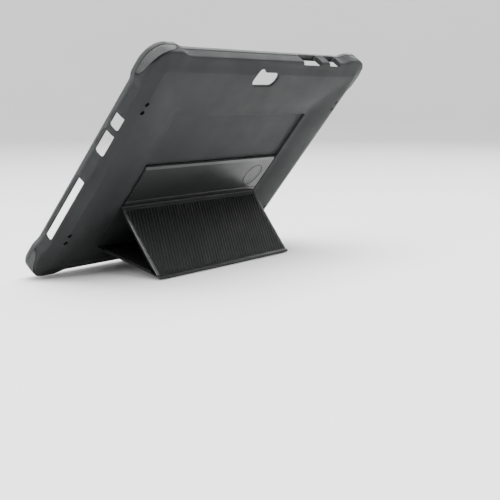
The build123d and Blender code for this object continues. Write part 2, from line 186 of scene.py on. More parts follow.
def bevelled(piece, width):
    """Rounds the piece's edges over `width` millimetres."""
    settle(piece, "BEVEL", width=width * MM, segments=2, limit_method="ANGLE", angle_limit=radians(20))
    return shade(piece, 40)


def finish_piece(piece, body, slot, *nodes):
    """Puts a piece on the body that it rides on and hides the CAD nodes that it stands for; `slot` is not
    used.
    """
    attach(piece, body)
    if nodes:
        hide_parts(*nodes)
    return piece


# ---- materials


def shader_tree(name, base, roughness):
    """A material with its colour, roughness and normal free for nodes to drive."""
    material = bpy.data.materials.new(name)
    material.use_nodes = True
    nodes, links = material.node_tree.nodes, material.node_tree.links
    shader = nodes["Principled BSDF"]
    shader.inputs["Base Color"].default_value = (*base, 1)
    shader.inputs["Roughness"].default_value = roughness
    return material, nodes, links, shader


def noise(nodes, links, scale, detail=4.0):
    """Noise in the object's own coordinates, with `scale` in features per metre."""
    coordinates = nodes.new("ShaderNodeTexCoord")
    texture = nodes.new("ShaderNodeTexNoise")
    texture.inputs["Scale"].default_value = scale
    texture.inputs["Detail"].default_value = detail
    links.new(coordinates.outputs["Object"], texture.inputs["Vector"])
    return texture.outputs["Fac"]


def uneven_gloss(nodes, links, shader, factor, low, high):
    """Drives the roughness from low to high as the factor runs over the middle of the noise."""
    remap = nodes.new("ShaderNodeMapRange")
    for key, value in (("From Min", 0.3), ("From Max", 0.7), ("To Min", low), ("To Max", high)):
        remap.inputs[key].default_value = value
    links.new(factor, remap.inputs["Value"])
    links.new(remap.outputs["Result"], shader.inputs["Roughness"])


def tint(nodes, links, shader, factor, base, low, high):
    """Drives the base colour from `low` to `high` times `base` as the factor rises."""
    ramp = nodes.new("ShaderNodeValToRGB")
    for element, position, share in zip(ramp.color_ramp.elements, (0.3, 0.7), (low, high)):
        element.position = position
        element.color = (*(min(1, c * share) for c in base), 1)
    links.new(factor, ramp.inputs["Fac"])
    links.new(ramp.outputs["Color"], shader.inputs["Base Color"])


def bump(nodes, links, shader, height, distance):
    """Relief up to `distance` metres deep."""
    node = nodes.new("ShaderNodeBump")
    node.inputs["Distance"].default_value = distance
    links.new(height, node.inputs["Height"])
    links.new(node.outputs["Normal"], shader.inputs["Normal"])


def moulded(name, base, roughness, gloss=0.3, grain=2600.0, depth=0.00006):
    """Moulded rubber or plastic: mottled tone, uneven gloss and a fine spark-eroded grain."""
    material, nodes, links, shader = shader_tree(name, base, roughness)
    tint(nodes, links, shader, noise(nodes, links, 22.0), base, 0.85, 1.15)
    smudges = noise(nodes, links, 60.0, 6.0)
    uneven_gloss(nodes, links, shader, smudges, roughness - 0.05, roughness + 0.06)
    bump(nodes, links, shader, noise(nodes, links, grain, 2.0), depth)
    shader.inputs["Specular IOR Level"].default_value = gloss
    return material


def felt(name, base):
    """Matt felt with short, uneven fibres."""
    material, nodes, links, shader = shader_tree(name, base, 0.95)
    fibres = noise(nodes, links, 1800.0, 8.0)
    tint(nodes, links, shader, fibres, base, 0.6, 1.8)
    bump(nodes, links, shader, fibres, 0.0002)
    shader.inputs["Sheen Weight"].default_value = 0.12
    shader.inputs["Specular IOR Level"].default_value = 0.2
    return material


def gel(name, base):
    """Bright translucent rubber with a soft glow under its surface."""
    material, nodes, links, shader = shader_tree(name, base, 0.38)
    tint(nodes, links, shader, noise(nodes, links, 90.0, 3.0), base, 0.88, 1.1)
    smudges = noise(nodes, links, 240.0, 4.0)
    uneven_gloss(nodes, links, shader, smudges, 0.32, 0.45)
    bump(nodes, links, shader, noise(nodes, links, 900.0, 2.0), 0.00005)
    shader.inputs["Subsurface Weight"].default_value = 0.12
    shader.inputs["Subsurface Radius"].default_value = (0.001, 0.002, 0.004)
    return material


def metal(name, base, roughness):
    """Brushed metal."""
    material, nodes, links, shader = shader_tree(name, base, roughness)
    shader.inputs["Metallic"].default_value = 1.0
    brushed = noise(nodes, links, 700.0, 6.0)
    uneven_gloss(nodes, links, shader, brushed, roughness - 0.08, roughness + 0.1)
    tint(nodes, links, shader, brushed, base, 0.9, 1.08)
    return material


FINE = 3800.0  # grain of the smoothest moulded parts

shell_black = moulded("shell_black", (0.0248, 0.0262, 0.0267), 0.52, gloss=0.06)
rim_black = moulded("rim_black", (0.04, 0.042, 0.043), 0.44, gloss=0.26)
# near-black painted shade, for the walls of the eyelets and the slits round the guard inserts
painted_shade_black = moulded("painted_shade_black", (0.004, 0.004, 0.0045), 0.8, gloss=0.1)
guard_black = moulded("guard_black", (0.032, 0.0335, 0.034), 0.4, gloss=0.3, grain=3400.0)
inner_black = moulded("inner_black", (0.008, 0.0084, 0.0086), 0.42, gloss=0.2)
cover_black = moulded("cover_black", (0.011, 0.0118, 0.0118), 0.38, gloss=0.16, grain=FINE, depth=0.00004)
rib_black = moulded("rib_black", (0.0095, 0.0105, 0.0103), 0.44, gloss=0.13, grain=FINE, depth=0.00004)
piping_black = moulded("piping_black", (0.02, 0.021, 0.0215), 0.26, gloss=0.9, grain=FINE, depth=0.00002)
edge_black = moulded("edge_black", (0.013, 0.014, 0.014), 0.36, gloss=0.42, grain=FINE, depth=0.00003)
board_black = moulded("board_black", (0.006, 0.006, 0.0065), 0.7, gloss=0.15)
fold_black = moulded("fold_black", (0.01, 0.0105, 0.011), 0.5, gloss=0.25)
band_grey = moulded("band_grey", (0.1, 0.103, 0.106), 0.5)
plate_grey = moulded("plate_grey", (0.1, 0.103, 0.106), 0.42)
felt_black = felt("felt_black", (0.008, 0.008, 0.0084))
gel_blue = gel("gel_blue", (0.07, 0.34, 0.86))
steel = metal("steel", (0.56, 0.57, 0.58), 0.32)

# ---- outline of the case

SIDE_X, SIDE_U, TURN = 112, 80, 14  # points along the long edges, the short edges and each corner


def outline(low_x, high_x, low_u, high_u, r_low, r_high):
    """Points round a rounded rectangle, each with its outward normal, in the same order every time."""
    corners = [
        (high_x, low_u, -1, 1, r_low, -90),
        (high_x, high_u, -1, -1, r_high, 0),
        (low_x, high_u, 1, -1, r_high, 90),
        (low_x, low_u, 1, 1, r_low, 180),
    ]
    centres = [(x + sx * r, u + su * r, r, start) for x, u, sx, su, r, start in corners]
    points = []
    for k, (x, u, r, start) in enumerate(centres):
        for i in range(TURN):
            angle = radians(start + 90 * i / (TURN - 1))
            points.append((x + r * cos(angle), u + r * sin(angle), cos(angle), sin(angle)))
        next_x, next_u, next_r, next_start = centres[(k + 1) % 4]
        normal = (cos(radians(next_start)), sin(radians(next_start)))
        here = (x + r * normal[0], u + r * normal[1])
        there = (next_x + next_r * normal[0], next_u + next_r * normal[1])
        count = SIDE_U if k % 2 == 0 else SIDE_X
        for i in range(1, count):
            t = i / count
            points.append((here[0] + (there[0] - here[0]) * t, here[1] + (there[1] - here[1]) * t, *normal))
    return points


def wall_outline(inset):
    """Outline of the walls, without the corner guards, `inset` inside them."""
    r = max(WALL_R - inset, 1.0)
    return outline(-WALL_W / 2 + inset, WALL_W / 2 - inset, PROUD + inset, wall_high - inset, r, r)


def guard_share(x, u, normal_x, normal_u):
    """How much of the corner guards' height a point of the wall has, from 0 to 1."""
    along_x = smooth((BUMPER_X - (WALL_W / 2 - abs(x))) / RAMP_X)
    along_u = smooth((BUMPER_U - (WALL_H / 2 - abs(u - mid_u))) / RAMP_U)
    return along_x if abs(normal_u) > abs(normal_x) else along_u


guard_shares = [guard_share(*point) for point in wall_outline(0.0)]


def wall_ring(inset, depth, flare=1.0):
    """Ring at one depth, `inset` from the walls, carrying `flare` of the corner guards' height."""
    ring = []
    for (x, u, nx, nu), share in zip(wall_outline(inset), guard_shares):
        out = (PROUD - INSERT_T) * share * flare
        ring.append(spot(x + nx * out, u + nu * out, depth))
    return ring


def recess_ring(grow, depth, grow_low=None):
    """Ring round the stand recess at one depth, grown by `grow`."""
    low = grow if grow_low is None else grow_low
    points = outline(
        -RECESS_X - grow, RECESS_X + grow, RECESS_LOW - low, RECESS_HIGH + grow,
        max(RECESS_R_LOW + grow, 0.6), max(RECESS_R_HIGH + grow, 0.6),
    )
    return [spot(x, u, depth) for x, u, _, _ in points]


# ---- cut-outs

PORT_FRONT, PORT_BACK, DOCK_BACK = -11.8, -2.2, -4.6
PORTS = ((128.5, 137.5, PORT_BACK), (108.0, 123.5, PORT_BACK), (34.5, 84.5, DOCK_BACK))
BUTTONS = ((37.0, 62.0), (73.5, 88.5))
CAMERA_X, CAMERA_U, CAMERA_W, CAMERA_H = -4.0, 171.9, 28.0, 11.0
NOTCH_X, NOTCH_U, NOTCH_R = -12.0, 173.8, 5.8
EYELET_R, EYELET_FLARE, EYELET_X = 1.3, 0.3, 116.0
EYELETS_U = (34.5, 41.0, 144.5, 151.0)
CURVE_STEPS = 10
SLANT_LOW, SLANT_FRONT, SLANT_BACK = 2.4, 1.55, 2.3  # how far a port's sides move on their way in
SLANT_HIGH_X, SLANT_BACK_U = 1.2, 0.9  # and those of a button opening
LEDGE_U = 177.6  # where the ledge of a button opening ends
PORT_RINGS = (  # distance in from the wall, widening, and how much of the slant is reached
    (-4.0, 1.4, 0.0), (-0.1, 0.9, 0.0), (0.8, 0.1, 0.2), (WALL_T, 0.0, 1.0), (9.7, 0.0, 1.0),
)
BUTTON_RINGS = ((-4.0, 0.6, 0.0), (-0.1, 0.6, 0.0), (0.5, 0.0, 0.2), (3.8, 0.0, 1.0))
WINDOW_RINGS = ((4.0, 0.8), (0.05, 0.8), (-0.7, 0.0), (-6.0, 0.0))  # depth and widening
EYELET_RINGS = ((4.0, EYELET_FLARE), (-0.5, EYELET_FLARE), (-6.0, -0.1))


def rounded_loop(low_a, high_a, low_b, high_b, radii):
    """Outline of a rectangle with a radius for each corner: low-low, high-low, high-high, low-high."""
    corners = (
        (low_a, low_b, 1, 1, 180), (high_a, low_b, -1, 1, 270),
        (high_a, high_b, -1, -1, 0), (low_a, high_b, 1, -1, 90),
    )
    loop = []
    for (a, b, side_a, side_b, start), r in zip(corners, radii):
        for i in range(CURVE_STEPS):
            angle = radians(start + 90 * i / (CURVE_STEPS - 1))
            loop.append((a + side_a * r + r * cos(angle), b + side_b * r + r * sin(angle)))
    return loop


def disc_rings(centre_x, centre_u, radius, depths, steps=24):
    """Rings of a round pin through the back."""
    rings = []
    for depth, grow in depths:
        ring = []
        for i in range(steps):
            angle = 2 * pi * i / steps
            x = centre_x + (radius + grow) * cos(angle)
            u = centre_u + (radius + grow) * sin(angle)
            ring.append(spot(x, u, depth))
        rings.append(ring)
    return rings


def port_cutter():
    """Tools for the ports of the left wall, flared outside and slanted on their way in."""
    parts = []
    for low, high, back in PORTS:
        rings = []
        for inward, grow, inner in PORT_RINGS:
            loop = rounded_loop(
                low - grow - SLANT_LOW * inner, high + 0.3 * grow,
                PORT_FRONT - 0.4 * grow - SLANT_FRONT * inner, back + 0.6 * grow - SLANT_BACK * inner,
                (4.0 + grow, 0.8, 0.8, 1.6 + grow),
            )
            rings.append([spot(-WALL_W / 2 + inward, u, n) for u, n in loop])
        parts.append(rings)
    return joined("port_cutter", parts, shell_black)


def button_cutter():
    """Tools for the button openings in the top wall, each with a scooped ledge towards the back."""
    parts = []
    for low, high in BUTTONS:
        rings = []
        for inward, grow, inner in BUTTON_RINGS:
            loop = rounded_loop(
                low - grow, high + grow + SLANT_HIGH_X * inner,
                PORT_FRONT - grow - SLANT_FRONT * inner, PORT_BACK + grow - SLANT_BACK_U * inner,
                (1.5,) * 4,
            )
            rings.append([spot(x, wall_high - inward, n) for x, n in loop])
        parts.append(rings)
        ledge_n = -CHAMFER_D * (LEDGE_U - wall_high + CHAMFER_W) / CHAMFER_W
        rings = []
        for x, grow in ((low - 0.4, 0.0), (low + 0.4, 0.3), (high - 0.4, 0.3), (high + 1.6, 0.0)):
            profile = (
                (LEDGE_U - grow, ledge_n), (wall_high + 4.0, ledge_n - CHAMFER_D - 0.8 - grow),
                (wall_high + 4.0, CHAMFER_D), (LEDGE_U - grow, CHAMFER_D),
            )
            rings.append([spot(x, u, n) for u, n in profile])
        parts.append(rings)
    return parts


def window_cutter():
    """Tools for the camera window with its round notch, and for the strap eyelets."""
    rings = []
    for depth, grow in WINDOW_RINGS:
        half_w, half_h = CAMERA_W / 2 + grow, CAMERA_H / 2 + grow
        loop = rounded_loop(
            CAMERA_X - half_w, CAMERA_X + half_w, CAMERA_U - half_h, CAMERA_U + half_h,
            (half_h - 0.05,) * 4,
        )
        rings.append([spot(x, u, depth) for x, u in loop])
    parts = [rings, disc_rings(NOTCH_X, NOTCH_U, NOTCH_R, WINDOW_RINGS, 40)]
    for side in (-1, 1):
        for u in EYELETS_U:
            parts.append(disc_rings(side * EYELET_X, u, EYELET_R, EYELET_RINGS))
    return parts


def cut_parts(piece, parts):
    """Cuts the parts out of the piece one by one, because they may overlap."""
    for i, part in enumerate(parts):
        combine(piece, joined(f"cutter_{i}", [part], shell_black))


# ---- moulded back

EDGE_R = 1.7  # rounding between the walls and the sloped edge
HOLLOW = 0.35  # the sloped edge is this hollow in its middle
SLOPE = atan(CHAMFER_D / CHAMFER_W)
CREST_R = 3.0  # rounding between the sloped edge and the back face
ROUND_STEPS = 7  # points along each of these roundings
FRAME_W, FRAME_LOW_W, FRAME_DIP = 8.5, 5.0, 0.45  # bevelled frame round the stand recess
RECESS_EDGE_R = 0.4  # rounding between that frame and the recess
RIM_R = 1.3  # rounding of the rim's outer front edge


def edge_profile():
    """(inset, depth, flare) from the seam up the wall, over the edge and up the slope to the back face."""
    profile = [(0.3, -SEAM_D), (0.0, -SEAM_D + 0.3), (0.0, -8.4)]
    turn = pi / 2 - SLOPE
    reach = EDGE_R * tan(turn / 2)
    for i in range(ROUND_STEPS):
        angle = turn * i / (ROUND_STEPS - 1)
        profile.append((EDGE_R * (1 - cos(angle)), -CHAMFER_D - reach + EDGE_R * sin(angle)))
    slope_start = profile[-1][0]
    crest = CREST_R * tan(SLOPE / 2)
    for t in (0.2, 0.4, 0.6, 0.8):
        inset = slope_start + (CHAMFER_W - crest * cos(SLOPE) - slope_start) * t
        profile.append((inset, -CHAMFER_D + inset * tan(SLOPE) - HOLLOW * sin(pi * t)))
    for i in range(ROUND_STEPS):
        angle = SLOPE * (1 - i / (ROUND_STEPS - 1))
        profile.append((CHAMFER_W + crest - CREST_R * sin(angle), CREST_R * (cos(angle) - 1)))
    flared = []
    for inset, depth in profile:
        spent = smooth((inset - EDGE_R * 0.3) / (CHAMFER_W + 3.0))
        flared.append((inset, depth, 1 - spent if inset > 0.3 else 1.0))
    return flared


def in_eyelet(point):
    """Whether a point of the back, in metres, lies on the wall of an eyelet."""
    x, u = ((point - origin).dot(axis) / MM for axis in (x_dir, up_dir))
    reach = EYELET_R + EYELET_FLARE + 0.02
    return any((abs(x) - EYELET_X) ** 2 + (u - middle) ** 2 < reach**2 for middle in EYELETS_U)


def moulded_back():
    """The back with its walls, sloped edge, stand recess and cut-outs, hollow on the inside."""
    rings = [wall_ring(WALL_T, -SEAM_D, 0.0)]
    rings += [wall_ring(*row) for row in edge_profile()]
    rings.append(recess_ring(FRAME_W + 0.3, 0.0, FRAME_LOW_W + 0.3))
    rings.append(recess_ring(FRAME_W, -0.15, FRAME_LOW_W))
    rings.append(recess_ring(0.9, -FRAME_DIP + 0.06))
    for i in range(4):
        angle = pi / 2 * i / 3
        depth = -FRAME_DIP - RECESS_EDGE_R * (1 - cos(angle))
        rings.append(recess_ring(RECESS_EDGE_R * (1 - sin(angle)), depth))
    rings.append(recess_ring(0.0, -RECESS_D + 0.3))
    rings.append(recess_ring(-0.3, -RECESS_D))
    outer = len(rings)
    inner = [
        wall_ring(WALL_T, -SEAM_D + 0.2, 0.0), wall_ring(WALL_T, -4.9, 0.0),
        wall_ring(WALL_T + 0.6, -4.1, 0.0), wall_ring(WALL_T + 2.0, -3.4, 0.0),
        wall_ring(WALL_T + 7.0, -SHELL_T, 0.0), recess_ring(11.6, -SHELL_T, 7.2),
        recess_ring(1.8, TRAY_INNER + 0.15), recess_ring(1.4, TRAY_INNER),
    ]
    size = len(rings[0])
    inside = outer * size  # number of the first point of the inner rings
    verts = [point for ring in rings + inner for point in ring]
    faces = ring_faces(outer, size, False)
    faces.pop(-2)  # the seam side stays open, and is joined to the inside below
    for face in ring_faces(len(inner), size, False):
        if len(face) == 4:
            faces.append(tuple(i + inside for i in face))
    faces.append(tuple(inside + (len(inner) - 1) * size + i for i in range(size)))
    for i in range(size):
        j = (i + 1) % size
        faces.append((i, j, inside + j, inside + i))
    piece = make_piece("moulded_back", verts, faces, shell_black)
    combine(piece, port_cutter())
    cut_parts(piece, button_cutter() + window_cutter())
    shade(piece)
    piece.data.materials.append(inner_black)
    piece.data.materials.append(painted_shade_black)
    for polygon in piece.data.polygons:
        # the eyelets' walls get the near-black painted shade of a deep hole
        if in_eyelet(polygon.center):
            polygon.material_index = 2
        elif polygon.normal.dot(out_dir) < -0.2:
            polygon.material_index = 1
    return finish_piece(piece, "shell", "tpu_back", "back_shell")


def front_rim():
    """The rim from the seam to the front, with the lip that holds the tablet."""
    rings = [
        wall_ring(WALL_T, -SEAM_D, 0.0), wall_ring(0.5, -SEAM_D), wall_ring(0.5, -SEAM_D - 0.6),
        wall_ring(0.15, -SEAM_D - 0.75), wall_ring(0.0, -SEAM_D - 1.0), wall_ring(0.0, FRONT + RIM_R),
    ]
    for i in range(1, 6):
        angle = pi / 2 * i / 5
        rings.append(wall_ring(RIM_R * (1 - cos(angle)), FRONT + RIM_R * (1 - sin(angle))))
    rings += [
        wall_ring(3.2, FRONT, 0.4), wall_ring(LIP_INSET - 0.3, FRONT, 0.0),
        wall_ring(LIP_INSET, FRONT + 0.25, 0.0), wall_ring(LIP_INSET, BAY_FRONT - 0.1, 0.0),
        wall_ring(LIP_INSET - 0.2, BAY_FRONT, 0.0), wall_ring(WALL_T + 0.3, BAY_FRONT, 0.0),
        wall_ring(WALL_T, BAY_FRONT + 0.3, 0.0),
    ]
    piece = ring_solid("moulded_rim", rings, rim_black, closed=True)
    combine(piece, port_cutter())
    cut_parts(piece, button_cutter())
    shade(piece)
    return finish_piece(piece, "shell", "tpu_frame", "front_rim")


# ---- corner guards

CORNERS = {"bottom_left": (-1, -1), "bottom_right": (1, -1), "top_left": (-1, 1), "top_right": (1, 1)}
INSERT_H = 6.0  # height of the inserts, from the seam towards the back
GUARD_LEGS = (8.0, 7.0)  # how far an insert runs past the corner's arc, along x and along u
SLIT_SHADE_W = 0.7  # width of the near-black piece, painted shade of the slit between each insert and the shell
HATCH_H = 0.3  # depth of the fine grooves across the inserts
LENS_STEPS = 68  # rings along an insert
LENS_SECTION = (  # share of its height, and of how far it stands out
    (0, -0.6), (0, 0.2), (0.03, 0.75), (0.08, 1), (0.5, 1.02), (0.92, 1), (0.97, 0.75), (1, 0.2), (1, -0.6),
)
RIB_STEP, RIB_HALF, RIB_PROUD = 0.95, 0.3, 0.24  # fine ribs of the rim


def corner_path(side_x, side_u, t, out):
    """Point (x, u) along a guard's corner, t from -1 on the long edge to 1 on the short edge."""
    radius = WALL_R + PROUD - INSERT_T
    arc = radius * pi / 2
    leg_x, leg_u = GUARD_LEGS
    reach = (t + 1) / 2 * (leg_x + arc + leg_u)
    if reach < leg_x:
        x, u = -(leg_x - reach), radius + out
    elif reach < leg_x + arc:
        angle = (reach - leg_x) / radius
        x, u = (radius + out) * sin(angle), (radius + out) * cos(angle)
    else:
        x, u = radius + out, -(reach - leg_x - arc)
    middle_x, middle_u = WALL_W / 2 - WALL_R, WALL_H / 2 - WALL_R
    return side_x * (middle_x + x), mid_u + side_u * (middle_u + u)


def half_lens(side_x, side_u, grow, proud, hatch=0.0):
    """Rings of an insert that is flat along the seam and curved towards the back, `proud` of the guard."""
    rings = []
    for i in range(LENS_STEPS + 1):
        t = -1 + 2 * i / LENS_STEPS
        wide = grow * (0.45 + 1.1 * smooth(1.5 - 3 * abs(t)))
        height = (INSERT_H + wide) * (1 - abs(t) ** 3) ** 0.6 + 0.1
        crown = proud * min(1.0, 0.3 + height / INSERT_H) - hatch * (i % 2)
        ring = []
        for across, out in LENS_SECTION:
            x, u = corner_path(side_x, side_u, t * (1 + grow / 20), crown * out if out > 0 else out)
            ring.append(spot(x, u, -SEAM_D + 0.1 + height * across))
        rings.append(ring)
    return rings


def corner_guards():
    """A hatched insert on each corner, over a near-black piece of painted shade for the slit, which shows
    round its curved side.
    """
    for name, (side_x, side_u) in CORNERS.items():
        # the slit is a near-black lens under the insert, painted shade of the gap
        slit = ring_solid(f"guard_slit_shade_{name}", half_lens(side_x, side_u, SLIT_SHADE_W, 0.05), painted_shade_black)
        finish_piece(shade(slit), "shell", "bumper")
        lens = half_lens(side_x, side_u, 0.0, INSERT_T, HATCH_H)
        insert = ring_solid(f"corner_guard_{name}", lens, guard_black)
        finish_piece(shade(insert), "shell", "bumper", f"bumper_{name}")


def rim_rib(x, u, nx, nu):
    """One fine rib across the rim's outer face, at a point of the wall with its outward normal."""
    out = (PROUD - INSERT_T) * guard_share(x, u, nx, nu)
    rings = []
    for depth, size in ((-SEAM_D - 1.1, 0.0), (-SEAM_D - 1.4, 1.0), (FRONT + 1.6, 1.0), (FRONT + 1.2, 0.0)):
        ring = []
        for across, proud in ((-1, -0.2), (-0.4, RIB_PROUD * size), (0.4, RIB_PROUD * size), (1, -0.2)):
            along, off = RIB_HALF * across, out + proud
            ring.append(spot(x + nx * off - nu * along, u + nu * off + nx * along, depth))
        rings.append(ring)
    return rings


def rim_ribs():
    """Fine ribs round the corners and along the short sides of the rim."""
    parts = []
    centre_x, centre_u = WALL_W / 2 - WALL_R, WALL_H / 2 - WALL_R
    arc_steps = int(WALL_R * pi / 2 / RIB_STEP)
    side_steps = int(2 * centre_u / RIB_STEP)
    for side_x in (-1, 1):
        for i in range(side_steps):
            u = mid_u - centre_u + 2 * centre_u * (i + 0.5) / side_steps
            parts.append(rim_rib(side_x * WALL_W / 2, u, side_x, 0.0))
        for side_u in (-1, 1):
            for i in range(arc_steps + 1):
                angle = pi / 2 * i / arc_steps
                nx, nu = side_x * cos(angle), side_u * sin(angle)
                x = side_x * centre_x + nx * WALL_R
                u = mid_u + side_u * centre_u + nu * WALL_R
                parts.append(rim_rib(x, u, nx, nu))
    ribs = joined("rim_ribs", parts, rim_black)
    combine(ribs, port_cutter())
    finish_piece(shade(ribs, 60), "shell", "tpu_frame")


# ---- inside of the case

FIN_STEP_X, FIN_STEP_U, FIN_SPREAD, FIN_STEPS = 21.0, 17.0, 1.28, 14  # spacing, fanning out, rings
FIN_BASE, FIN_LOW, FIN_HIGH = -1.5, -2.2, -5.0  # depths of the fins' foot and of both ends of their crest
FIN_START, FIN_END = 2.2, 5.4  # gaps between a fin line and the recess, and the walls' outside
SIDE_BOW, EDGE_BOW = 0.8, 2.4  # how far fin lines bend sideways
PETAL_SECTION = ((0.0, 0.0), (0.35, 0.16), (0.65, 0.45), (0.9, 0.86), (0.975, 0.97), (1.0, 0.9))
PAD_X, PAD_U, PAD_R, PAD_CUT = 61.0, (47.0, 121.0), 23.0, 8.0  # centres, radius and cut corners
TRIANGLE_R, TRIANGLE_HALF = 8.6, 1.2  # the raised triangle on a pad, and half of its cut corners
BAND_W, BAND_T = 7.0, 0.3
BAND_START, BAND_REACH = 14.2, 24.0  # the diagonal bands, measured from the pads' centres
LONG_BAND_GAP, SIDE_BAND_GAP, SIDE_HOLLOW = 11.0, 13.0, 5.0  # ends of the other bands, and their hollow
BAND_STEPS = 16
PLATE_W, PLATE_T = 50.0, 0.5
PLATE_RINGS = (  # widening and depth
    (-0.2, LINER_INNER), (0.0, LINER_INNER - 0.12),
    (0.0, LINER_INNER - PLATE_T + 0.15), (-0.2, LINER_INNER - PLATE_T),
)
FELT_RINGS = (
    (-0.05, TRAY_INNER + 0.05), (0.0, TRAY_INNER - 0.08), (-0.1, LINER_INNER + 0.03), (-0.4, LINER_INNER),
)
LINING_OUT = 0.6  # how far the felt runs past the recess behind it
inside_mid = sum(PAD_U) / 2


def fin_line(start, end, bow=0.0):
    """Points (x, u) of a fin's crest, from the tray's edge to the wall, bowed sideways."""
    along = Vector((end[0] - start[0], end[1] - start[1]))
    side = Vector((-along.y, along.x)).normalized()
    shares = [i / FIN_STEPS for i in range(FIN_STEPS + 1)]
    return [Vector(start) + along * t + side * bow * 4 * t * (1 - t) for t in shares]


def side_line(side, step):
    """A fin line on a short side, `step` places above the middle."""
    recess_mid = (RECESS_LOW + RECESS_HIGH) / 2
    start = (side * (RECESS_X + FIN_START), recess_mid + step * FIN_STEP_U)
    end = (side * (WALL_W / 2 - FIN_END), mid_u + step * FIN_STEP_U * FIN_SPREAD)
    return fin_line(start, end, side * SIDE_BOW)


def edge_line(side_u, step):
    """A fin line on a long side, `step` places right of the middle."""
    low = RECESS_HIGH + FIN_START if side_u > 0 else RECESS_LOW - FIN_START
    high = wall_high - FIN_END if side_u > 0 else PROUD + FIN_END
    bow = EDGE_BOW * side_u * (-1 if step > 0 else 1)
    return fin_line((step * FIN_STEP_X, low), (step * FIN_STEP_X * FIN_SPREAD, high), bow)


def foot_depth(x, u):
    """Depth inside the shell's thickness, which bends towards the front near the walls."""
    inset = min(WALL_W / 2 - abs(x), WALL_H / 2 - abs(u - mid_u))
    return FIN_BASE - 1.0 * smooth((CHAMFER_W + 1.0 - inset) / 5.5)


def ramp(low_line, high_line):
    """A petal that rises from one fin line to the next and drops off sharply there."""
    rings = []
    for i, (low, high) in enumerate(zip(low_line, high_line)):
        t = i / FIN_STEPS
        crest = FIN_LOW - (FIN_LOW - FIN_HIGH) * smooth(0.2 + 0.8 * t)
        ring = [spot(low.x, low.y, foot_depth(*low))]
        for share, rise in PETAL_SECTION:
            place = low + (high - low) * share
            foot = foot_depth(*place) - 0.15
            ring.append(spot(place.x, place.y, foot + (crest - foot) * rise))
        ring.append(spot(high.x, high.y, foot_depth(*high)))
        rings.append(ring)
    return rings


def support_fins():
    """Petals that fan out from the tray to the walls."""
    left, rest = [], []
    for side, parts in ((-1, left), (1, rest)):
        for step in range(-3, 4):
            width = 1.0 if step < 3 else 0.7
            parts.append(ramp(side_line(side, step + width), side_line(side, step)))
    for side_u, steps in ((1, (2, 3, 4)), (-1, (1, 2, 3, 4))):
        for step in steps:
            for side in (-1, 1):
                inner, outer = edge_line(side_u, side * (step - 1)), edge_line(side_u, side * step)
                rest.append(ramp(inner, outer))
    for i, part in enumerate(left):
        petal = combine(joined(f"support_fin_{i}", [part], inner_black), port_cutter())
        finish_piece(shade(petal, 40), "shell", "tpu_back")
    finish_piece(shade(joined("support_fins", rest, inner_black), 40), "shell", "tpu_back")


def turned(x, y, angle):
    """The vector (x, y), turned by an angle in radians."""
    return x * cos(angle) - y * sin(angle), x * sin(angle) + y * cos(angle)


def rounded_polygon(corners, radius, steps):
    """Loop of points round a convex polygon with rounded corners."""
    loop = []
    count = len(corners)
    for i in range(count):
        corner = Vector(corners[i])
        before = (Vector(corners[i - 1]) - corner).normalized()
        after = (Vector(corners[(i + 1) % count]) - corner).normalized()
        half_angle = before.angle(after) / 2
        reach = radius / tan(half_angle)
        centre = corner + (before + after).normalized() * radius / sin(half_angle)
        first, last = corner + before * reach - centre, corner + after * reach - centre
        turn = first.angle_signed(last)
        for k in range(steps):
            loop.append(centre + Vector(turned(first.x, first.y, -turn * k / (steps - 1))))
    return loop


def gel_pads():
    """Triangular pads with cut corners, rounded tops and a raised triangle inside a groove."""
    for name, (side_x, side_u) in CORNERS.items():
        middle = Vector((side_x * PAD_X, PAD_U[0] if side_u < 0 else PAD_U[1]))
        facing = atan2(side_u, side_x)
        flat, half = PAD_R - PAD_CUT, PAD_CUT * tan(radians(30))
        outer, inner = [], []
        for turn in (0, 120, 240):
            angle = facing + radians(turn)
            for side in (-1, 1):
                outer.append(turned(flat, side * half, angle))
                inner.append(turned(TRIANGLE_R, side * TRIANGLE_HALF, angle))
        hexagon = rounded_polygon(outer, 1.6, 8)
        triangle = rounded_polygon(inner, 0.8, 8)
        rings = []
        for loop, scale, depth in (
            (hexagon, 0.985, LINER_INNER), (hexagon, 1.0, LINER_INNER - 0.25),
            (hexagon, 1.0, PAD_TOP + 0.75), (hexagon, 0.985, PAD_TOP + 0.35),
            (hexagon, 0.95, PAD_TOP + 0.12), (hexagon, 0.9, PAD_TOP + 0.05),
            (triangle, 1.16, PAD_TOP + 0.02), (triangle, 1.1, PAD_TOP + 0.1),
            (triangle, 1.06, PAD_TOP + 0.42), (triangle, 0.99, PAD_TOP + 0.42),
            (triangle, 0.95, PAD_TOP + 0.08), (triangle, 0.88, PAD_TOP), (triangle, 0.5, PAD_TOP),
        ):
            rings.append([spot(middle.x + p.x * scale, middle.y + p.y * scale, depth) for p in loop])
        pad = ring_solid(f"gel_pad_{name}", rings, gel_blue)
        finish_piece(shade(pad, 50), "shell", "pad", f"impact_pad_{name}")


def band(edges):
    """Rings of a flat strip with bevelled sides, from pairs of (x, u) points on its two edges."""
    rings = []
    for left, right in edges:
        left, right = Vector(left), Vector(right)
        inset = (right - left).normalized() * 0.12
        top = LINER_INNER - BAND_T
        corners = ((left, LINER_INNER), (right, LINER_INNER), (right - inset, top), (left + inset, top))
        rings.append([spot(point.x, point.y, depth) for point, depth in corners])
    return rings


